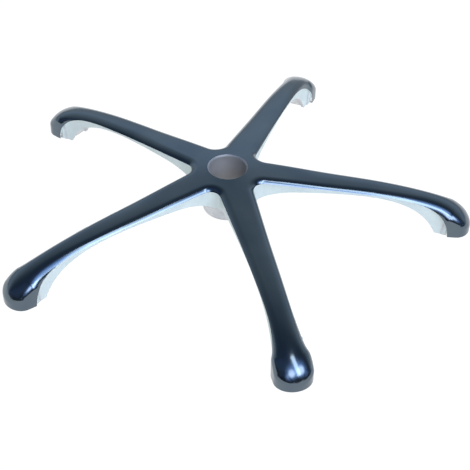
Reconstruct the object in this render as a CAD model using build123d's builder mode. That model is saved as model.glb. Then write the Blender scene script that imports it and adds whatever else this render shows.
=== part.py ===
from build123d import *
from math import radians, tan
import os

# A five-armed office chair base, cast in one piece: a hub with a tapered bore, five
# arms that arch down from it, and at the end of each a rounded foot with a caster socket.
# Sizes are in millimetres, the hub's axis is Z and the feet rest on Z = 0.

os.makedirs("parts", exist_ok=True)

# Layout
arm_count = 5
foot_radius = 309.0            # hub axis to the widest place of a foot
floor_margin = -4.0            # rough shapes start this far below the floor

# Outline of an arm, seen from above
hub_half_width = 26.4
side_slope = 0.048             # how fast an arm narrows at the hub
side_pull = foot_radius + 63.0
foot_half_width = 24.5
foot_pull = 53.5
nose_length = 20.0             # widest place to the front wall
crotch_radius = 12.0

# Ridge of an arm, seen from the side
ridge_at_axis = 86.2
ridge_slope = 0.110
stock_height = ridge_at_axis + 8.8
droop_start = foot_radius - 149.0  # up to here the ridge is straight
nose_bulge = 2.0               # tip of the foot ahead of its front wall
nose_radius = foot_radius + nose_length + nose_bulge
nose_pull = 41.0               # how high up the tip stays upright
droop_pull = 47.0              # how far before the tip the ridge starts to roll over

# Polished cap and the step under its edge, where the rough side wall starts
shoulder_radius = 12.0
crease_drop = 5.5              # ridge to the edge of the cap
wall_inset = 3.2               # outline to the side wall
cheek_radius = foot_radius - 11.0  # where the edge of the cap reaches the floor
cheek_pull = 45.0
crease_pull = 32.0

# Arch under an arm, from the hub's barrel to the inner face of the foot
barrel_radius = 32.5
barrel_bottom = 18.0
barrel_pull = 32.0
arch_start = 95.0              # the highest place
arch_height = 60.4
foot_inner = foot_radius - 26.5
foot_lean = 0.4                # the inner face leans towards the hub
inner_pull = 59.0
arch_pull = 87.5

# Hollow underside with its cross ribs
wall = 4.0
top_wall = 5.0
pocket_start = 44.0
face_recess = 3.0              # the foot's inner face is set back between the walls
face_pull = 51.0
roof_pull = 38.5
rib_radii = (75.0, 115.0, 160.0, 210.0)
rib_thickness = 2.5

# Hub
bore_radius = 25.0
bore_taper = 1.43              # degrees to each side
bore_chamfer = 1.8
mouth_height = ridge_at_axis - ridge_slope * (bore_radius + bore_chamfer)

# Foot
socket_radius = 5.5
socket_depth = 27.0
socket_pitch_radius = foot_radius - 7.0
boss_radius = 9.5
core_radius = 15.0
core_depth = 17.0
core_rib = 2.5
vent_radius = 1.75
vent_height = 8.0


def ridge_height(radius):
    return ridge_at_axis - ridge_slope * radius


def arm_plan(inset):
    """Plan of one arm, from inside the hub to its elliptical nose, drawn in by an inset."""
    with BuildSketch() as plan:
        with BuildLine():
            side = Bezier(
                (0, hub_half_width - inset),
                (side_pull, hub_half_width - side_slope * side_pull - inset),
                (foot_radius - foot_pull, foot_half_width - inset),
                (foot_radius, foot_half_width - inset),
            )
            mirror(side, about=Plane.XZ)
            EllipticalCenterArc(
                (foot_radius, 0), nose_length, foot_half_width - inset, start_angle=-90, arc_size=180
            )
            Line(side @ 0, (0, inset - hub_half_width))
        make_face()
    return plan.sketch


def star_plan(inset):
    """Plan of all the arms, with a rounded crotch between neighbours."""
    with BuildSketch() as plan:
        with PolarLocations(0, arm_count):
            add(arm_plan(inset))
        crotches = plan.vertices().filter_by(lambda v: v.center().length < 2 * hub_half_width)
        fillet(crotches, radius=crotch_radius + inset)
    return plan.sketch


# Side view of everything below the ridge, nose included
with BuildSketch(Plane.XZ) as ridge_view:
    with BuildLine():
        straight = Line((0, ridge_at_axis), (droop_start, ridge_height(droop_start)))
        Bezier(
            straight @ 1,
            (nose_radius - droop_pull, ridge_height(nose_radius - droop_pull)),
            (nose_radius, floor_margin + nose_pull),
            (nose_radius, floor_margin),
        )
        Polyline((nose_radius, floor_margin), (0, floor_margin), straight @ 0)
    make_face()

# Side view of the rough wall: below the cap's edge, which turns down round the foot
with BuildSketch(Plane.XZ) as wall_view:
    with BuildLine():
        edge = Line(
            (0, ridge_height(0) - crease_drop),
            (droop_start, ridge_height(droop_start) - crease_drop),
        )
        Bezier(
            edge @ 1,
            (cheek_radius - crease_pull, ridge_height(cheek_radius - crease_pull) - crease_drop),
            (cheek_radius, floor_margin + cheek_pull),
            (cheek_radius, floor_margin),
        )
        Polyline((cheek_radius, floor_margin), (0, floor_margin), edge @ 0)
    make_face()

# Side view of the open space under the hub and an arm, up to the foot
with BuildSketch(Plane.XZ) as arch_view:
    with BuildLine():
        Polyline((0, floor_margin), (0, barrel_bottom), (barrel_radius, barrel_bottom))
        Bezier(
            (barrel_radius, barrel_bottom),
            (barrel_radius, barrel_bottom + barrel_pull),
            (arch_start - barrel_pull, arch_height),
            (arch_start, arch_height),
        )
        Bezier(
            (arch_start, arch_height),
            (foot_inner - arch_pull, arch_height),
            (foot_inner - foot_lean * inner_pull, floor_margin + inner_pull),
            (foot_inner, floor_margin),
        )
        Line((foot_inner, floor_margin), (0, floor_margin))
    make_face()

# Side view of the hollow, which follows the ridge and then the foot's inner face
face_radius = foot_inner + face_recess
with BuildSketch(Plane.XZ.offset(-stock_height)) as hollow_view:
    with BuildLine():
        roof = Line(
            (pocket_start, ridge_height(pocket_start) - top_wall),
            (droop_start, ridge_height(droop_start) - top_wall),
        )
        Bezier(
            roof @ 1,
            (face_radius - roof_pull, ridge_height(face_radius - roof_pull) - top_wall),
            (face_radius - foot_lean * face_pull, floor_margin + face_pull),
            (face_radius, floor_margin),
        )
        Polyline((face_radius, floor_margin), (pocket_start, floor_margin), roof @ 0)
    make_face()

# Everything outside the side walls and below the cap's edge
with BuildPart() as rough_wall:
    add(wall_view.sketch)
    revolve(axis=Axis.Z)
    with BuildSketch(Plane.XY.offset(floor_margin)):
        add(star_plan(wall_inset))
    extrude(amount=stock_height, mode=Mode.SUBTRACT)

# Hollow of one arm, with its cross ribs left standing
with BuildPart() as hollow:
    with BuildSketch(Plane.XY.offset(floor_margin)):
        add(arm_plan(wall_inset + wall))
    extrude(amount=stock_height)
    extrude(hollow_view.sketch, amount=2 * stock_height, mode=Mode.INTERSECT)
    for radius in rib_radii:
        with Locations((radius, 0, 0)):
            Box(rib_thickness, 2 * stock_height, 2 * stock_height, mode=Mode.SUBTRACT)

with BuildPart() as base:
    # Polished outer shape, rounded all along its rim
    with BuildSketch(Plane.XY.offset(floor_margin)):
        add(star_plan(0))
    extrude(amount=stock_height)
    add(ridge_view.sketch)
    revolve(axis=Axis.Z, mode=Mode.INTERSECT)
    rim = base.edges().filter_by(lambda edge: min((edge @ 0).Z, (edge @ 0.5).Z, (edge @ 1).Z) > 0)
    fillet(rim, radius=shoulder_radius)

    # Rough side walls, the arch below, and the flat that the feet stand on
    add(rough_wall.part, mode=Mode.SUBTRACT)
    add(arch_view.sketch)
    revolve(axis=Axis.Z, mode=Mode.SUBTRACT)
    split(bisect_by=Plane.XY, keep=Keep.TOP)

    # Hollow under each arm
    with PolarLocations(0, arm_count):
        add(hollow.part, mode=Mode.SUBTRACT)

    # Tapered bore for the gas lift, with a chamfered mouth
    with BuildSketch(Plane.XZ):
        with BuildLine():
            Polyline(
                (0, 0),
                (bore_radius - mouth_height * tan(radians(bore_taper)), 0),
                (bore_radius, mouth_height - bore_chamfer),
                (bore_radius + bore_chamfer, mouth_height),
                (bore_radius + bore_chamfer, stock_height),
                (0, stock_height),
                close=True,
            )
        make_face()
    revolve(axis=Axis.Z, mode=Mode.SUBTRACT)

    # Underside of each foot: a cored ring, crossed by four ribs from the socket's boss
    with BuildSketch():
        with PolarLocations(socket_pitch_radius, arm_count):
            Circle(core_radius)
            Circle(boss_radius, mode=Mode.SUBTRACT)
            Rectangle(2 * core_radius, core_rib, rotation=45, mode=Mode.SUBTRACT)
            Rectangle(2 * core_radius, core_rib, rotation=135, mode=Mode.SUBTRACT)
    extrude(amount=core_depth, mode=Mode.SUBTRACT)

    # Caster sockets
    with BuildSketch():
        with PolarLocations(socket_pitch_radius, arm_count):
            Circle(socket_radius)
    extrude(amount=socket_depth, mode=Mode.SUBTRACT)

    # A small drain hole through the inner face of each foot, into the ring
    with BuildPart(mode=Mode.PRIVATE) as vent:
        with BuildSketch(Plane.YZ.offset(foot_inner)):
            with Locations((0, vent_height)):
                Circle(vent_radius)
        extrude(amount=socket_pitch_radius - boss_radius - foot_inner)
    with PolarLocations(0, arm_count):
        add(vent.part, mode=Mode.SUBTRACT)

base.part.label = "base"
export_step(base.part, "parts/base.step")
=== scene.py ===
# %% [markdown]
# # An office chair base, cast in one piece
#
# The object is a five-armed star of cast aluminium. Its top and its five rounded feet are
# polished, the side walls under the cap's edge are satin, the bore for the gas lift is turned,
# and the underside is as it came out of the mould.
#
# A polished surface shows every facet, so the visible skin isn't the CAD mesh. It is worked out
# again here as an even grid of small quads. It starts from the CAD's dimensions, but its top
# and its feet are a little rounder than the CAD's. The underside stays a copy of the CAD mesh,
# because a rough surface hides its facets.

# %% Load the frame
import math

import bmesh
import bpy
import numpy as np
from mathutils import Matrix, Vector
from mathutils.bvhtree import BVHTree


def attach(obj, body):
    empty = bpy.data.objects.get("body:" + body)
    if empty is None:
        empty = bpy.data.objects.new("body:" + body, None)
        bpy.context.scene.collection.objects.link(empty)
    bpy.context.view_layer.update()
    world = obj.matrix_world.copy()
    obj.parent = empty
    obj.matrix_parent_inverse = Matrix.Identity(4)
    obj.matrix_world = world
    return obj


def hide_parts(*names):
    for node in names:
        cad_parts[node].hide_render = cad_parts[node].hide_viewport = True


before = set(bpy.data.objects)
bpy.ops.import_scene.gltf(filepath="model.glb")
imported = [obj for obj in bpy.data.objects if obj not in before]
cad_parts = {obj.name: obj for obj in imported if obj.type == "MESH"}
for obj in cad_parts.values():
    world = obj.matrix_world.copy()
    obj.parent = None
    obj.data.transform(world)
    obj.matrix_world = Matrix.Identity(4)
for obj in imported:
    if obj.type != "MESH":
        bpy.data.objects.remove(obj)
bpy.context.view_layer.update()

cad_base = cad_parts["base"]

# %% [markdown]
# ## The driving dimensions
#
# These are the same as in the CAD source, in metres. Two more come with the shoulder, and
# belong to the skin alone. A pull is a distance that places one handle of a curve.

# %% Sizes seen from above
MM = 0.001
ARMS = 5
HALF_STEP = math.pi / ARMS            # from the middle of an arm to the crotch

FOOT_RADIUS = 309 * MM                # hub axis to the widest place of a foot
FOOT_HALF_WIDTH = 24.5 * MM
FOOT_PULL = 53.5 * MM
HUB_HALF_WIDTH = 26.4 * MM
SIDE_SLOPE = 0.048
SIDE_PULL = FOOT_RADIUS + 63 * MM
NOSE_LENGTH = 20 * MM
CROTCH_RADIUS = 12 * MM
WALL_INSET = 3.2 * MM                 # outline to the satin wall
print("an arm is", round(2000 * HUB_HALF_WIDTH, 1), "mm wide at the hub")

# %% Sizes seen from the side
RIDGE_AT_AXIS = 86.2 * MM
RIDGE_SLOPE = 0.110
DROOP_START = FOOT_RADIUS - 149 * MM  # up to here the ridge is straight
DROOP_PULL = 47 * MM
NOSE_BULGE = 2 * MM
NOSE_RADIUS = FOOT_RADIUS + NOSE_LENGTH + NOSE_BULGE
NOSE_PULL = 41 * MM
BELOW_FLOOR = -4 * MM                 # side views end this far under the floor

CREASE_DROP = 5.5 * MM                # ridge to the edge of the cap
CREASE_PULL = 32 * MM
CHEEK_RADIUS = FOOT_RADIUS - 11 * MM  # where the cap's edge reaches the floor
CHEEK_PULL = 45 * MM

BARREL_RADIUS = 32.5 * MM
BARREL_BOTTOM = 18 * MM
BARREL_PULL = 32 * MM
ARCH_START = 95 * MM
ARCH_HEIGHT = 60.4 * MM
ARCH_PULL = 87.5 * MM
FOOT_INNER = FOOT_RADIUS - 26.5 * MM
FOOT_LEAN = 0.4
INNER_PULL = 59 * MM
print("the arch is", round(1000 * ARCH_HEIGHT, 1), "mm high")

# %% [markdown]
# ## Side views
#
# A side view is a curve of height over the distance from the hub's axis, because the CAD turns
# each of these curves about that axis. There are three: the ridge along the top, the crease
# where the polished cap ends, and the arch underneath. Each could be drawn by hand as a Bezier
# curve object. Plain formulas are used instead, so that they match the CAD exactly.

# %% A cubic curve
CURVE_POINTS = 400


def bezier(p0, p1, p2, p3, count=CURVE_POINTS):
    """Points of a cubic curve with two handles, as the CAD draws it."""
    t = np.linspace(0, 1, count)[:, None]
    p0, p1, p2, p3 = (np.array(p, float) for p in (p0, p1, p2, p3))
    return (1 - t) ** 3 * p0 + 3 * (1 - t) ** 2 * t * p1 + 3 * (1 - t) * t ** 2 * p2 + t ** 3 * p3


# %% Ridge and crease
STRAIGHT_POINTS = 200


def ridge_height(radius):
    """Height of the straight part of the ridge, carried on."""
    return RIDGE_AT_AXIS - RIDGE_SLOPE * radius


def drooping(end_radius, pull, lift, drop=0.0):
    """The straight ridge and its roll over the foot, both lowered by a drop."""
    bend = (DROOP_START, ridge_height(DROOP_START))
    straight = np.linspace((0, RIDGE_AT_AXIS), bend, STRAIGHT_POINTS)[:-1]
    roll = bezier(
        bend,
        (end_radius - pull, ridge_height(end_radius - pull)),
        (end_radius, BELOW_FLOOR + lift + drop),
        (end_radius, BELOW_FLOOR + drop),
    )
    return np.vstack([straight, roll]) - (0, drop)


ridge = drooping(NOSE_RADIUS, DROOP_PULL, NOSE_PULL)
crease = drooping(CHEEK_RADIUS, CREASE_PULL, CHEEK_PULL, CREASE_DROP)
print("ridge", len(ridge), "and crease", len(crease), "points")

# %% Arch
from_barrel = bezier(
    (BARREL_RADIUS, BARREL_BOTTOM),
    (BARREL_RADIUS, BARREL_BOTTOM + BARREL_PULL),
    (ARCH_START - BARREL_PULL, ARCH_HEIGHT),
    (ARCH_START, ARCH_HEIGHT),
)
to_foot = bezier(
    (ARCH_START, ARCH_HEIGHT),
    (FOOT_INNER - ARCH_PULL, ARCH_HEIGHT),
    (FOOT_INNER - FOOT_LEAN * INNER_PULL, BELOW_FLOOR + INNER_PULL),
    (FOOT_INNER, BELOW_FLOOR),
)
arch = np.vstack([from_barrel[:-1], to_foot])


def height_at(curve, radius):
    """Height of a side view at a distance from the axis, and never below the floor."""
    return np.maximum(np.interp(radius, curve[:, 0], curve[:, 1], right=BELOW_FLOOR), 0)


print("arch", len(arch), "points")

# %% [markdown]
# ## The outline of half an arm
#
# It starts in the crotch between two arms, follows the rounded crotch to the side of the arm,
# and ends at the tip of the foot. Each point keeps the direction that faces out of the metal,
# because the rounded shoulder is rolled along it. Half an arm is enough: a mirror and four turns
# make the rest.

# %% Side of an arm
SIDE_POINTS = 3000
side = bezier(
    (0, HUB_HALF_WIDTH),
    (SIDE_PULL, HUB_HALF_WIDTH - SIDE_SLOPE * SIDE_PULL),
    (FOOT_RADIUS - FOOT_PULL, FOOT_HALF_WIDTH),
    (FOOT_RADIUS, FOOT_HALF_WIDTH),
    SIDE_POINTS,
)
side_run = np.gradient(side, axis=0)
side_out = np.stack([-side_run[:, 1], side_run[:, 0]], 1)
side_out /= np.linalg.norm(side_out, axis=1)[:, None]
print("narrowest half width", round(1000 * float(side[:, 1].min()), 2), "mm")

# %% [markdown]
# ### The crotch
#
# Two neighbouring arms meet in an arc that touches both. Its centre lies on the line halfway
# between them, one arc radius from the side of the arm. It is found by halving an interval.

# %% Crotch between two arms
HALVINGS = 60
CROTCH_STEPS = 14
bisector = np.array([math.cos(HALF_STEP), math.sin(HALF_STEP)])
near = HUB_HALF_WIDTH
far = 4 * HUB_HALF_WIDTH
for _ in range(HALVINGS):
    middle = (near + far) / 2
    gap = np.linalg.norm(side - middle * bisector, axis=1).min()
    near, far = (middle, far) if gap < CROTCH_RADIUS else (near, middle)
crotch_centre = middle * bisector
touch = int(np.linalg.norm(side - crotch_centre, axis=1).argmin())
touch_angle = math.atan2(*(side[touch] - crotch_centre)[::-1])

angles = np.linspace(HALF_STEP - math.pi, touch_angle, CROTCH_STEPS)
crotch_out = -np.stack([np.cos(angles), np.sin(angles)], 1)
crotch = crotch_centre - CROTCH_RADIUS * crotch_out
print("crotch at", round(float(np.hypot(*crotch[0])), 4), "m from the axis")

# %% [markdown]
# ### Arm and nose
#
# The points stand closer together at the foot, where the skin bends most. The nose is half of
# an ellipse, and its directions come from the ellipse's own formula.

# %% Points along the arm and round the nose
SIDE_STEP = 3.2 * MM
FOOT_STEP = 1.3 * MM
FINE_FROM = 275 * MM
NOSE_STEPS = 34
stations = np.concatenate([
    np.arange(side[touch, 0] + SIDE_STEP, FINE_FROM, SIDE_STEP),
    np.arange(FINE_FROM, FOOT_RADIUS - FOOT_STEP / 2, FOOT_STEP),
])
arm = np.stack([stations, np.interp(stations, side[:, 0], side[:, 1])], 1)
arm_out = np.stack([np.interp(stations, side[:, 0], side_out[:, k]) for k in (0, 1)], 1)

turn = np.linspace(math.pi / 2, 0, NOSE_STEPS)
nose = np.stack([FOOT_RADIUS + NOSE_LENGTH * np.cos(turn), FOOT_HALF_WIDTH * np.sin(turn)], 1)
nose_out = np.stack([np.cos(turn) / NOSE_LENGTH, np.sin(turn) / FOOT_HALF_WIDTH], 1)

outline = np.vstack([crotch, arm, nose])
outward = np.vstack([crotch_out, arm_out, nose_out])
outward /= np.linalg.norm(outward, axis=1)[:, None]
along = np.hypot(outline[:, 0], outline[:, 1])
print("outline of half an arm:", len(outline), "points")

# %% [markdown]
# ## Rolling the shoulder
#
# A fillet is what a ball leaves free when it rolls along an edge from the inside. The ball's
# centre lies one radius in from the outline and one radius below the ridge, so the ridge is
# first moved in by one radius. A Bevel modifier could round the edge too, but it would not give
# even lines along the arm, which a clean reflection needs.
#
# The real shoulder looks rounder at the feet than at the hub, so the ball grows from 12 mm to
# 15 mm on the way out. The top isn't flat across either: it has a crown, a slight bend across
# the arm, which starts beyond the hub and gets stronger towards the foot. Both leave the skin
# up to three millimetres inside the CAD at the feet.

# %% Radius of the ball and crown of the top
SHOULDER = 12 * MM
FOOT_SHOULDER = 15 * MM
SHOULDER_GROWS = 190 * MM, 285 * MM   # distances from the axis
CROWN = 1 / (70 * MM)                 # one over the radius of the bend
FOOT_CROWN = 1 / (45 * MM)
CROWN_STARTS = 75 * MM, 150 * MM
CROWN_GROWS = 230 * MM, 300 * MM


def ease(value, start, end):
    """Goes softly from 0 to 1 between two places."""
    t = np.clip((value - start) / (end - start), 0, 1)
    return t * t * (3 - 2 * t)


shoulder = SHOULDER + (FOOT_SHOULDER - SHOULDER) * ease(along, *SHOULDER_GROWS)
crown = CROWN * ease(along, *CROWN_STARTS)
crown += (FOOT_CROWN - CROWN) * ease(along, *CROWN_GROWS)
print("shoulder radius in mm:", [round(1000 * float(shoulder[i]), 1) for i in (0, -1)])

# %% [markdown]
# ### The ball's centre
#
# It is known from above by the outline and from the side by the moved-in ridge. There the ball
# touches the skin in two directions: `up` towards the ridge and `out` towards the side.

# %% The ball's centre and the two directions in which it touches
ridge_run = np.gradient(ridge, axis=0)
ridge_out = np.stack([-ridge_run[:, 1], ridge_run[:, 0]], 1)
ridge_out /= np.linalg.norm(ridge_out, axis=1)[:, None]

centre = outline - shoulder[:, None] * outward
centre_radius = np.hypot(centre[:, 0], centre[:, 1])
away = centre / centre_radius[:, None]
moved_in = ridge - shoulder[:, None, None] * ridge_out


def at_centre(values):
    """Reads one value per moved-in ridge, at the ball's distance from the axis."""
    rows = zip(centre_radius, moved_in, values)
    return np.array([np.interp(radius, line[:, 0], row) for radius, line, row in rows])


centre_height = at_centre(moved_in[:, :, 1])
up_r = at_centre([ridge_out[:, 0]] * len(along))
up_z = at_centre([ridge_out[:, 1]] * len(along))
ball = np.column_stack([centre, centre_height])
up = np.column_stack([away * up_r[:, None], up_z])
up /= np.linalg.norm(up, axis=1)[:, None]
out = np.column_stack([outward, np.zeros(len(outward))])
touch_radius = np.hypot(*(ball + shoulder[:, None] * up)[:, :2].T)
print("shoulder starts from the axis at", [round(float(touch_radius[i]), 4) for i in (0, -1)])

# %% [markdown]
# ## One half arm as a grid
#
# Every point of the outline gives one line of the grid. It runs from the middle of the arm to
# the shoulder, round it to the cap's edge, a little in under the edge, and down the satin wall
# to the arch. At the foot the cap's edge is at the floor, and there is no wall. All lines have
# the same number of points, so neighbours join to quads that run along the arm.

# %% From the shoulder down to the cap's edge
TOP_STEPS = 9
ARC_STEPS = 18
DROP_STEPS = 8
CAP_STEPS = ARC_STEPS + DROP_STEPS


def flat_width(i):
    """From the middle of the arm to the shoulder's start."""
    start = ball[i] + shoulder[i] * up[i]
    return math.hypot(*start[:2]) * math.atan2(start[1], start[0])


def cap_line(i):
    """The skin round the shoulder and down. Points beyond the cap's edge end up on the edge."""
    angle = math.acos(float(np.clip(up[i] @ out[i], -1, 1)))
    s = np.linspace(0, 1, ARC_STEPS + 1)[:, None]
    facing = (np.sin((1 - s) * angle) * up[i] + np.sin(s * angle) * out[i]) / math.sin(angle)
    # The crown lowers the shoulder's start. This sink fades out along the arc, without a kink.
    half_flat = flat_width(i)
    sink = crown[i] * half_flat ** 2 / 2 * (2 * s ** 3 - 3 * s ** 2 + 1)
    sink += crown[i] * half_flat * shoulder[i] * angle * (s ** 3 - 2 * s ** 2 + s)
    arc = ball[i] + (shoulder[i] - sink) * facing
    drop = np.linspace(arc[-1], (arc[-1, 0], arc[-1, 1], 0), DROP_STEPS + 1)[1:]
    path = np.vstack([arc, drop])
    over = path[:, 2] - height_at(crease, np.hypot(path[:, 0], path[:, 1]))
    below = np.nonzero(over <= 0)[0]
    if len(below) and over[max(below[0] - 1, 0)] > over[below[0]]:
        end = max(int(below[0]), 1)
        share = over[end - 1] / (over[end - 1] - over[end])
        path[end:] = path[end - 1] + share * (path[end] - path[end - 1])
    return path


print("a cap line has", len(cap_line(0)), "points")

# %% Whole lines
WALL_STEPS = 6
LOWEST_WALL = 0.05 * MM


def top_line(i):
    """The crowned top, from the middle of the arm to just before the shoulder's start."""
    start = ball[i] + shoulder[i] * up[i]
    turn = np.linspace(0, math.atan2(start[1], start[0]), TOP_STEPS + 1)[:-1]
    ahead = np.stack([np.cos(turn), np.sin(turn)], 1)
    sink = crown[i] * (touch_radius[i] * turn) ** 2 / 2
    radius = touch_radius[i] - sink * up_r[i]
    height = start[2] - sink * up_z[i]
    return np.column_stack([radius[:, None] * ahead, height])


def wall_line(i):
    """The satin wall, from under the cap's edge down to the arch."""
    foot = outline[i] - WALL_INSET * outward[i]
    reach = math.hypot(*foot)
    edge = float(height_at(crease, reach))
    lower_end = min(edge, float(height_at(arch, reach)))
    return np.linspace((*foot, edge), (*foot, lower_end), WALL_STEPS + 1)


lines = np.array([np.vstack([top_line(i), cap_line(i), wall_line(i)]) for i in range(len(outline))])
walled = height_at(crease, along) > LOWEST_WALL
print("grid of half an arm:", lines.shape[0], "lines of", lines.shape[1], "points")

# %% [markdown]
# ## The hub's ring and the bore
#
# The hub between the bore and the shoulders is a ring, and the bore is a cone with a chamfer.
# Both are turned shapes, so their lines are arcs about the axis.

# %% Lines of the hub and the bore
BORE_RADIUS = 25 * MM
BORE_TAPER = math.radians(1.43)
BORE_CHAMFER = 1.8 * MM
HUB_RINGS = 7
BORE_RINGS = 9
mouth_radius = BORE_RADIUS + BORE_CHAMFER
mouth_height = ridge_height(mouth_radius)
lip_height = mouth_height - BORE_CHAMFER
hub_angles = np.linspace(0, HALF_STEP, TOP_STEPS + 1)


def ring(radius, height):
    """An arc about the axis, from the middle of the arm to the crotch."""
    level = np.full(TOP_STEPS + 1, height)
    return np.stack([radius * np.cos(hub_angles), radius * np.sin(hub_angles), level], 1)


hub = np.array([ring(r, ridge_height(r)) for r in np.linspace(mouth_radius, touch_radius[0], HUB_RINGS)])
hub[-1] = lines[0, :TOP_STEPS + 1]
bore = np.array([
    ring(BORE_RADIUS - (lip_height - z) * math.tan(BORE_TAPER), z)
    for z in np.linspace(BARREL_BOTTOM, lip_height, BORE_RINGS)
])
chamfer = np.array([bore[-1], hub[0]])
print("bore", round(2000 * BORE_RADIUS, 1), "mm across, its mouth", round(mouth_height, 4), "m up")

# %% [markdown]
# ## From points to a mesh
#
# BMesh makes the faces, because each quad can carry a number. The number is its zone, and the
# zone decides later which finish it gets. The half arm is then copied and mirrored, and the
# seam between the halves is welded.

# %% Quads of one half
POLISHED = 0
SATIN = 1
TURNED = 2
EDGE_COLUMN = TOP_STEPS + CAP_STEPS   # the cap's edge in a line of the grid


def add_grid(mesh, points, zone_of, keep=lambda a, b: True):
    """Quads over a block of points. The zone tells which finish a quad gets later."""
    rows, columns = points.shape[:2]
    verts = [[mesh.verts.new(points[a, b]) for b in range(columns)] for a in range(rows)]
    zone = mesh.faces.layers.int["zone"]
    for a in range(rows - 1):
        for b in range(columns - 1):
            if keep(a, b):
                quad = mesh.faces.new((verts[a][b], verts[a + 1][b], verts[a + 1][b + 1], verts[a][b + 1]))
                quad[zone] = zone_of(b)


def has_quad(a, b):
    """The wall is left out where the cap reaches the floor."""
    return b < EDGE_COLUMN or (walled[a] and walled[a + 1])


skin = bmesh.new()
skin.faces.layers.int.new("zone")
add_grid(skin, lines, lambda b: POLISHED if b < EDGE_COLUMN else SATIN, has_quad)
add_grid(skin, hub, lambda b: POLISHED)
add_grid(skin, bore, lambda b: TURNED)
add_grid(skin, chamfer, lambda b: TURNED)
print("half an arm:", len(skin.faces), "quads")

# %% The mirrored half
WELD = 0.01 * MM
SHORTEST_EDGE = 0.005 * MM
twin = bmesh.ops.duplicate(skin, geom=skin.verts[:] + skin.edges[:] + skin.faces[:])
twin_faces = [g for g in twin["geom"] if isinstance(g, bmesh.types.BMFace)]
for v in (g for g in twin["geom"] if isinstance(g, bmesh.types.BMVert)):
    v.co.y = -v.co.y
bmesh.ops.reverse_faces(skin, faces=twin_faces)
bmesh.ops.remove_doubles(skin, verts=skin.verts[:], dist=WELD)
bmesh.ops.dissolve_degenerate(skin, edges=skin.edges[:], dist=SHORTEST_EDGE)
sector_mesh = bpy.data.meshes.new("arm_skin")
skin.to_mesh(sector_mesh)
skin.free()


def place(name, data):
    """Puts a mesh, a lamp or a camera into the scene as an object."""
    made = bpy.data.objects.new(name, data)
    bpy.context.scene.collection.objects.link(made)
    return made


sector = place("arm_skin", sector_mesh)
print("skin of one arm:", len(sector_mesh.polygons), "faces")

# %% [markdown]
# ## Finishes
#
# The object is one aluminium throughout, and mostly only how its surface was worked differs.
# The polished cap's dark colour is painted shade for what it mirrors. Each finish is a Principled
# shader with its own roughness, two close tones and a fine relief. An image texture could do the
# same, but these patterns come from noise on the object's own coordinates, so they stay in place
# on the casting and have no seams.

# %% Nodes of a finish
def material(name, colour, roughness, metallic=1.0):
    """A material with its shader, to be given relief and wear."""
    made = bpy.data.materials.new(name)
    made.use_nodes = True
    shader = made.node_tree.nodes["Principled BSDF"]
    shader.inputs["Base Color"].default_value = (*colour, 1)
    shader.inputs["Metallic"].default_value = metallic
    shader.inputs["Roughness"].default_value = roughness
    return made, shader


def node(made, kind, **values):
    """A node of a material with its inputs set."""
    new = made.node_tree.nodes.new(kind)
    for key, value in values.items():
        new.inputs[key].default_value = value
    return new


def noise(made, scale, detail, stretch=(1, 1, 1)):
    """Noise on the object's own coordinates, so it stays in place on the casting."""
    link = made.node_tree.links.new
    spot = node(made, "ShaderNodeTexCoord")
    stretched = node(made, "ShaderNodeMapping", Scale=stretch)
    pattern = node(made, "ShaderNodeTexNoise", Scale=scale, Detail=detail, Roughness=0.6)
    link(spot.outputs["Object"], stretched.inputs["Vector"])
    link(stretched.outputs["Vector"], pattern.inputs["Vector"])
    return pattern.outputs["Fac"]


# %% Wear and relief
def vary_roughness(made, shader, scale, smoothest, roughest, detail=4, low=0.3, high=0.7):
    """Fine scuffs move the roughness between two values."""
    ranged = node(made, "ShaderNodeMapRange")
    for key, number in zip(("From Min", "From Max", "To Min", "To Max"), (low, high, smoothest, roughest)):
        ranged.inputs[key].default_value = number
    made.node_tree.links.new(noise(made, scale, detail), ranged.inputs["Value"])
    made.node_tree.links.new(ranged.outputs["Result"], shader.inputs["Roughness"])


def vary_colour(made, shader, scale, dark, light, detail=4, low=0.3, high=0.7):
    """Soft patches move the colour between two tones."""
    ramp = node(made, "ShaderNodeValToRGB")
    for stop, position, colour in zip(ramp.color_ramp.elements, (low, high), (dark, light)):
        stop.position = position
        stop.color = (*colour, 1)
    made.node_tree.links.new(noise(made, scale, detail), ramp.inputs["Fac"])
    made.node_tree.links.new(ramp.outputs["Color"], shader.inputs["Base Color"])


def add_relief(made, shader, scale, detail, strength, depth, stretch=(1, 1, 1)):
    """A fine grain raises and lowers the surface."""
    bump = node(made, "ShaderNodeBump", Strength=strength, Distance=depth)
    made.node_tree.links.new(noise(made, scale, detail, stretch), bump.inputs["Height"])
    made.node_tree.links.new(bump.outputs["Normal"], shader.inputs["Normal"])


# %% [markdown]
# ### The polished cap
#
# The real cap is buffed until it mirrors the room. Its upright faces mirror the floor, and this
# floor is pale, so a colour as bright as real aluminium would turn them white. The colour is
# therefore much darker and a little bluer than the metal's own: it is painted shade, standing in
# for the darker room that the real cap mirrors. That is a choice for this scene's pale floor.

# %% Polished cap
# Painted shade: the cap's dark, bluish tones stand in for the darker room it mirrors.
polished, shader = material("polished_aluminium", (0.125, 0.16, 0.19), roughness=0.16)
vary_roughness(polished, shader, scale=38, smoothest=0.13, roughest=0.20, detail=5, high=0.75)
vary_colour(polished, shader, scale=14, dark=(0.108, 0.142, 0.176), light=(0.145, 0.176, 0.196), high=0.72)
add_relief(polished, shader, scale=45, detail=2, strength=0.05, depth=0.4 * MM)
print("polished cap:", len(polished.node_tree.nodes), "nodes")

# %% [markdown]
# ### The satin walls
#
# Blasting or tumbling leaves a pale, even surface that scatters the light. A low Metallic value
# gives that softness more simply than a very fine relief would.

# %% Satin walls
satin, shader = material("satin_aluminium", (0.62, 0.70, 0.68), roughness=0.4, metallic=0.25)
vary_roughness(satin, shader, scale=90, smoothest=0.34, roughest=0.46)
vary_colour(satin, shader, scale=30, dark=(0.57, 0.65, 0.63), light=(0.67, 0.75, 0.72))
add_relief(satin, shader, scale=900, detail=3, strength=0.12, depth=0.2 * MM)
print("satin walls:", len(satin.node_tree.nodes), "nodes")

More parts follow.
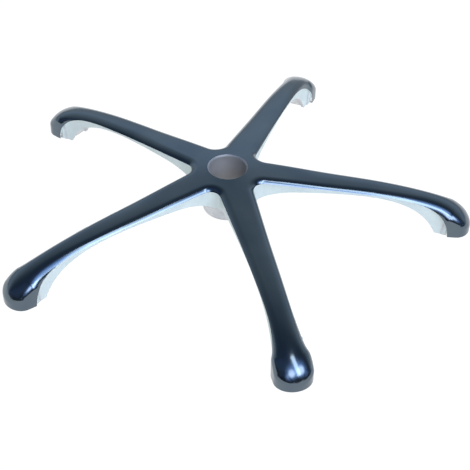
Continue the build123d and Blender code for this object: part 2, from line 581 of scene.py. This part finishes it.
# %% [markdown]
# ### The turned bore
#
# A cutting tool leaves fine rings round the bore. The noise is pressed together along the
# hub's axis, which draws it out into rings without a texture that has to be wrapped.

# %% Turned bore
RING_STRETCH = (1, 1, 500)
turned, shader = material("turned_aluminium", (0.36, 0.355, 0.35), roughness=0.5, metallic=0.35)
vary_roughness(turned, shader, scale=60, smoothest=0.42, roughest=0.56)
vary_colour(turned, shader, scale=25, dark=(0.33, 0.32, 0.31), light=(0.40, 0.39, 0.38))
add_relief(turned, shader, scale=5, detail=2, strength=0.08, depth=0.1 * MM, stretch=RING_STRETCH)
print("turned bore:", len(turned.node_tree.nodes), "nodes")

# %% [markdown]
# ### The raw casting
#
# The underside keeps the grain of the mould: blotchy, rough and a little lighter and darker
# from place to place. It has the strongest relief of the four.

# %% Raw casting
cast, shader = material("raw_cast_aluminium", (0.62, 0.64, 0.66), roughness=0.55, metallic=0.5)
vary_roughness(cast, shader, scale=150, smoothest=0.45, roughest=0.65)
vary_colour(cast, shader, scale=70, dark=(0.5, 0.52, 0.54), light=(0.72, 0.74, 0.75), detail=6, high=0.72)
add_relief(cast, shader, scale=420, detail=5, strength=0.35, depth=0.5 * MM)
print("raw casting:", len(cast.node_tree.nodes), "nodes")

# %% [markdown]
# ## Five arms from one
#
# The star is one arm repeated about the hub's axis. An Array modifier with a turned helper
# object could do it. A Geometry Nodes tree is used, because it can also weld the crotches and
# hand out the finishes: it puts a copy of the arm on each of five points, turns it by the
# point's number, makes the copies real, welds them and gives each zone its material.

# %% The tree and its inputs
tree = bpy.data.node_groups.new("star_of_arms", "GeometryNodeTree")
tree.interface.new_socket("Geometry", in_out="INPUT", socket_type="NodeSocketGeometry")
arms_socket = tree.interface.new_socket("Arms", in_out="INPUT", socket_type="NodeSocketInt")
weld_socket = tree.interface.new_socket("Weld distance", in_out="INPUT", socket_type="NodeSocketFloat")
tree.interface.new_socket("Geometry", in_out="OUTPUT", socket_type="NodeSocketGeometry")


def feed(graph, socket, value):
    """Gives a socket a link or a plain value."""
    if isinstance(value, bpy.types.NodeSocket):
        graph.links.new(value, socket)
    else:
        socket.default_value = value


def step(kind, **inputs):
    """A node of the tree, with links or plain values for its inputs."""
    new = tree.nodes.new(kind)
    for key, value in inputs.items():
        feed(tree, new.inputs[key.replace("_", " ")], value)
    return new


def math_node(graph, operation, *values):
    """A Math node, with links or plain numbers for its inputs in their order."""
    new = graph.nodes.new("ShaderNodeMath")
    new.operation = operation
    for socket, value in zip(new.inputs, values):
        feed(graph, socket, value)
    return new.outputs["Value"]


print("inputs of the tree:", arms_socket.name, "and", weld_socket.name)

# %% Copies about the axis
given = tree.nodes.new("NodeGroupInput")
points = step("GeometryNodeMeshLine", Count=given.outputs["Arms"], Offset=(0, 0, 0))
arm_turn = math_node(tree, "DIVIDE", 2 * math.pi, given.outputs["Arms"])
number = tree.nodes.new("GeometryNodeInputIndex").outputs["Index"]
rotation = step("ShaderNodeCombineXYZ", Z=math_node(tree, "MULTIPLY", number, arm_turn))
copies = step(
    "GeometryNodeInstanceOnPoints",
    Points=points.outputs["Mesh"],
    Instance=given.outputs["Geometry"],
    Rotation=rotation.outputs["Vector"],
)
real = step("GeometryNodeRealizeInstances", Geometry=copies.outputs["Instances"])
welded = step(
    "GeometryNodeMergeByDistance",
    Geometry=real.outputs["Geometry"],
    Distance=given.outputs["Weld distance"],
)
print("nodes up to the weld:", len(tree.nodes))

# %% A finish for each zone
FINISHES = {POLISHED: polished, SATIN: satin, TURNED: turned}
shape = welded.outputs["Geometry"]
zone_number = tree.nodes.new("GeometryNodeInputNamedAttribute")
zone_number.data_type = "INT"
zone_number.inputs["Name"].default_value = "zone"
for zone, finish in FINISHES.items():
    same = tree.nodes.new("FunctionNodeCompare")
    same.data_type = "INT"
    same.operation = "EQUAL"
    numbers = [s for s in same.inputs if s.type == "INT"]
    tree.links.new(zone_number.outputs["Attribute"], numbers[0])
    numbers[1].default_value = zone
    chosen = same.outputs["Result"]
    finished = step("GeometryNodeSetMaterial", Geometry=shape, Selection=chosen, Material=finish)
    shape = finished.outputs["Geometry"]
tree.links.new(shape, tree.nodes.new("NodeGroupOutput").inputs["Geometry"])
print("finishes of the skin:", [finish.name for finish in FINISHES.values()])

# %% [markdown]
# ## From the tree to a plain mesh
#
# A modifier runs the tree on the arm. Its result is taken over as a mesh of its own, and the
# modifier and the single arm go away. Faces that meet at a small angle are shaded smoothly, and
# the cap's edge stays sharp.

# %% The skin
SKIN_SHARP = math.radians(38)
sector_mesh.materials.append(polished)
pattern = sector.modifiers.new("star", "NODES")
pattern.node_group = tree
pattern[arms_socket.identifier] = ARMS
pattern[weld_socket.identifier] = WELD
star_mesh = bpy.data.meshes.new_from_object(sector.evaluated_get(bpy.context.evaluated_depsgraph_get()))
sector.modifiers.clear()
bpy.data.objects.remove(sector)
star_mesh.shade_smooth()
star_mesh.set_sharp_from_angle(angle=SKIN_SHARP)
star = place("base_skin", star_mesh)
print("star:", len(star_mesh.polygons), "faces,", [m.name for m in star_mesh.materials])

# %% [markdown]
# ## The underside
#
# The arches, the hollows with their ribs, the barrel and the feet's undersides come from the
# CAD mesh. They could be modelled again as well, but they are rough and mostly in shade.
#
# A copy of the CAD mesh is welded first, and every face that lies on the skin is taken out. At
# the feet the skin is rounder and lies inside the CAD, so faces of the CAD's cap would stick out
# of it. Those are taken out too.

# %% Where the skin stands for the CAD
UNDERSIDE_WELD = 0.002 * MM
ON_SKIN = 0.3 * MM
UNDER_CROWN = 4.0 * MM                # the polished skin lies less than this inside the CAD
SAME_WAY = 0.6                        # cosine between two directions that count as one
FACING_DOWN = -0.5

shell = bmesh.new()
shell.from_mesh(cad_base.data)
bmesh.ops.remove_doubles(shell, verts=shell.verts[:], dist=UNDERSIDE_WELD)
corners = [v.co for v in star_mesh.vertices]
cap_slot = list(star_mesh.materials).index(polished)
cap_faces = [p.vertices for p in star_mesh.polygons if p.material_index == cap_slot]
skin_tree = BVHTree.FromPolygons(corners, [p.vertices for p in star_mesh.polygons])
cap_tree = BVHTree.FromPolygons(corners, cap_faces)


def on_skin(face):
    """Whether the skin already has this face of the CAD."""
    _, normal, _, gap = skin_tree.find_nearest(face.calc_center_median())
    return gap < ON_SKIN and normal.dot(face.normal) > SAME_WAY


def under_crown(face):
    """Whether a face belongs to the CAD's cap. The flats under the feet face down, and stay."""
    middle = face.calc_center_median()
    nearest, normal, _, _ = cap_tree.find_nearest(middle)
    outside = (middle - nearest).dot(normal) > ON_SKIN / 2
    near_cap = all(cap_tree.find_nearest(v.co)[3] < UNDER_CROWN for v in face.verts)
    return near_cap and (outside or face.normal.z > FACING_DOWN)


covered = [face for face in shell.faces if on_skin(face) or under_crown(face)]
print("the skin covers", len(covered), "of", len(shell.faces), "CAD faces")

# %% The rest of the casting
UNDERSIDE_SHARP = math.radians(30)
bmesh.ops.delete(shell, geom=covered, context="FACES")
under_mesh = bpy.data.meshes.new("base_underside")
shell.to_mesh(under_mesh)
shell.free()
under_mesh.materials.clear()
under_mesh.materials.append(cast)
under_mesh.shade_smooth()
under_mesh.set_sharp_from_angle(angle=UNDERSIDE_SHARP)
underside = place("base_underside", under_mesh)
print("underside keeps", len(under_mesh.polygons), "CAD faces")

# %% [markdown]
# ## Riding on the frame
#
# Both meshes stand for the one CAD node, and they don't move against each other.

# %% Pieces in the frame
for piece in (star, underside):
    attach(piece, "root")
    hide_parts("base")
print("pieces:", star.name, "and", underside.name)

# %% [markdown]
# ## The floor
#
# A studio often has a pale sweep under the object. Here it is one large square. It gives its own
# light, so that it stays plain and even, and the same floor brightens the walls from below.

# %% Floor
FLOOR_REACH = 6.0
FLOOR_TONE = (0.1, 0.1, 0.1)
FLOOR_GLOW = 0.97
floor_mesh = bpy.data.meshes.new("floor")
floor_corners = [(x * FLOOR_REACH, y * FLOOR_REACH, 0) for x, y in ((-1, -1), (1, -1), (1, 1), (-1, 1))]
floor_mesh.from_pydata(floor_corners, [], [(0, 1, 2, 3)])
floor = place("floor", floor_mesh)
pale, shader = material("pale_floor", FLOOR_TONE, roughness=0.9, metallic=0.0)
shader.inputs["Emission Color"].default_value = (1, 1, 1, 1)
shader.inputs["Emission Strength"].default_value = FLOOR_GLOW
floor_mesh.materials.append(pale)
print("floor", 2 * FLOOR_REACH, "m wide")

# %% [markdown]
# ## The sky
#
# Polished metal shows what is around it, so the sky does as much for the cap as its material.
# Its colour follows the angle from the horizon behind the camera, over the top, to the far
# horizon, so it has bands from left to right as a long room has. It is a dark slate blue behind
# the camera and overhead, and paler on the far side, which the top of the cap mirrors. A faint
# noise bends the bands. A photographed room could be used instead, but this one is plain and
# made of numbers only.

# %% Angle over the top
CLOUD_SCALE = 2.2
CLOUD_DRIFT = 0.12
world = bpy.data.worlds.new("studio")
bpy.context.scene.world = world
world.use_nodes = True
sky = world.node_tree
direction = sky.nodes.new("ShaderNodeTexCoord").outputs["Generated"]
parts = sky.nodes.new("ShaderNodeSeparateXYZ")
cloud = sky.nodes.new("ShaderNodeTexNoise")
cloud.inputs["Scale"].default_value = CLOUD_SCALE
sky.links.new(direction, parts.inputs["Vector"])
sky.links.new(direction, cloud.inputs["Vector"])
behind = math_node(sky, "MULTIPLY", parts.outputs["Y"], -1.0)
climb = math_node(sky, "ARCTAN2", parts.outputs["Z"], behind)
half_turns = math_node(sky, "DIVIDE", climb, math.pi)
drifted = math_node(sky, "MULTIPLY_ADD", cloud.outputs["Fac"], CLOUD_DRIFT, half_turns)
print("nodes for the sky's angle:", len(sky.nodes))

# %% Bands of the sky
CLOUD_SHIFT = CLOUD_DRIFT / 2         # the noise is about a half on average
SKY_BANDS = (                         # degrees over the top, and the colour there
    (4, (0.05, 0.06, 0.07)),
    (24, (0.06, 0.08, 0.11)),
    (44, (0.12, 0.18, 0.30)),
    (62, (0.10, 0.15, 0.28)),
    (80, (0.07, 0.10, 0.17)),
    (100, (0.11, 0.15, 0.20)),
    (122, (0.27, 0.34, 0.40)),
    (140, (0.44, 0.51, 0.60)),
    (154, (0.56, 0.69, 0.86)),
    (176, (0.42, 0.48, 0.54)),
)
ramp = sky.nodes.new("ShaderNodeValToRGB")
sky.links.new(drifted, ramp.inputs["Fac"])
while len(ramp.color_ramp.elements) < len(SKY_BANDS):
    ramp.color_ramp.elements.new(0.5)
for stop, (degrees, colour) in zip(ramp.color_ramp.elements, SKY_BANDS):
    stop.position = degrees / 180 + CLOUD_SHIFT
    stop.color = (*colour, 1)
print("sky with", len(SKY_BANDS), "bands")

# %% [markdown]
# ## Soft windows
#
# The bright lines along the near shoulders mirror lights on the camera's side, to its right. Two
# round lights with a bluish rim are added to the sky itself, because a patch of sky has no edge
# that a polished foot would draw as a hard bar. A fainter glow lies between them, higher up.

# %% Round lights in the sky
def toward(azimuth, elevation):
    """The direction from the object to a place in the sky, given in degrees."""
    a = math.radians(azimuth)
    e = math.radians(elevation)
    return Vector((math.cos(a) * math.cos(e), math.sin(a) * math.cos(e), math.sin(e)))


def glow(below, azimuth, elevation, reach, core, colour):
    """Adds a soft round light to the sky. It is full within core degrees and gone at reach."""
    nearness = sky.nodes.new("ShaderNodeVectorMath")
    nearness.operation = "DOT_PRODUCT"
    nearness.inputs[1].default_value = toward(azimuth, elevation)
    fade = sky.nodes.new("ShaderNodeMapRange")
    fade.interpolation_type = "SMOOTHSTEP"
    fade.inputs["From Min"].default_value = math.cos(math.radians(reach))
    fade.inputs["From Max"].default_value = math.cos(math.radians(core))
    added = sky.nodes.new("ShaderNodeMix")
    added.data_type = "RGBA"
    added.blend_type = "ADD"
    share, first, second = added.inputs[0], added.inputs[6], added.inputs[7]
    second.default_value = (*colour, 1)
    sky.links.new(direction, nearness.inputs[0])
    sky.links.new(nearness.outputs["Value"], fade.inputs["Value"])
    sky.links.new(fade.outputs["Result"], share)
    sky.links.new(below, first)
    return added.outputs[2]


WINDOWS = ((-77, 33), (-37, 32))      # azimuth and elevation in degrees
WINDOW_LIGHT = 15, 4, (4.0, 4.0, 4.3)  # reach and core in degrees, and colour
WINDOW_RIM = 26, 6, (0.40, 0.70, 1.40)
lit = ramp.outputs["Color"]
for azimuth, elevation in WINDOWS:
    lit = glow(lit, azimuth, elevation, *WINDOW_LIGHT)
    lit = glow(lit, azimuth, elevation, *WINDOW_RIM)
lit = glow(lit, azimuth=-53, elevation=45, reach=24, core=6, colour=(0.30, 0.50, 1.00))
sky.links.new(lit, sky.nodes["Background"].inputs["Color"])
print("round lights:", len(WINDOWS))

# %% [markdown]
# ### The tall window
#
# One real lamp stands in the middle of the faint glow, as a tall soft panel. Unlike the sky's
# round lights, it is near enough for its place to shift from arm to arm.

# %% Tall window
LAMP_AZIMUTH = -53
LAMP_ELEVATION = 43
LAMP_DISTANCE = 3.0
lamp = bpy.data.lights.new("tall_window", "AREA")
lamp.shape = "RECTANGLE"
lamp.size = 0.60
lamp.size_y = 2.6
lamp.energy = 24
lamp.color = (0.88, 0.94, 1.0)
tall_window = place("tall_window", lamp)
tall_window.location = LAMP_DISTANCE * toward(LAMP_AZIMUTH, LAMP_ELEVATION)
tall_window.rotation_euler = (-tall_window.location).to_track_quat("-Z", "Y").to_euler()
print("lamp at", [round(v, 2) for v in tall_window.location])

# %% [markdown]
# ## Camera
#
# The camera stands where the photograph was taken from: in front, about forty degrees above
# the floor. It was found by fitting a camera to the five feet and the mouth of the bore. A real
# camera is seldom quite level or centred, so it has a small roll and the picture is shifted.

# %% Camera at the photograph's place
EYE_DISTANCE = 1.664619
EYE_AZIMUTH = -87.264
EYE_ELEVATION = 40.222
ROLL = math.radians(1.006)
PICTURE = 470                         # pixels to a side
FOCAL_PIXELS = 1219.773
OFF_X = 8.199
OFF_Y = -20.181
SENSOR = 36.0

eye = EYE_DISTANCE * toward(EYE_AZIMUTH, EYE_ELEVATION)
ahead = -eye.normalized()
right = ahead.cross(Vector((0, 0, 1))).normalized()
above = right.cross(ahead)
rolled_right = right * math.cos(ROLL) + above * math.sin(ROLL)
rolled_above = above * math.cos(ROLL) - right * math.sin(ROLL)
camera_data = bpy.data.cameras.new("camera")
camera_data.sensor_width = SENSOR
camera_data.lens = FOCAL_PIXELS * SENSOR / PICTURE
camera_data.shift_x = OFF_X / PICTURE
camera_data.shift_y = OFF_Y / PICTURE
camera = place("camera", camera_data)
camera.matrix_world = Matrix((
    (rolled_right.x, rolled_above.x, -ahead.x, eye.x),
    (rolled_right.y, rolled_above.y, -ahead.y, eye.y),
    (rolled_right.z, rolled_above.z, -ahead.z, eye.z),
    (0, 0, 0, 1),
))
bpy.context.scene.camera = camera
bpy.context.scene.view_settings.view_transform = "Standard"
print("camera", round(camera_data.lens, 2), "mm at", [round(v, 3) for v in eye])
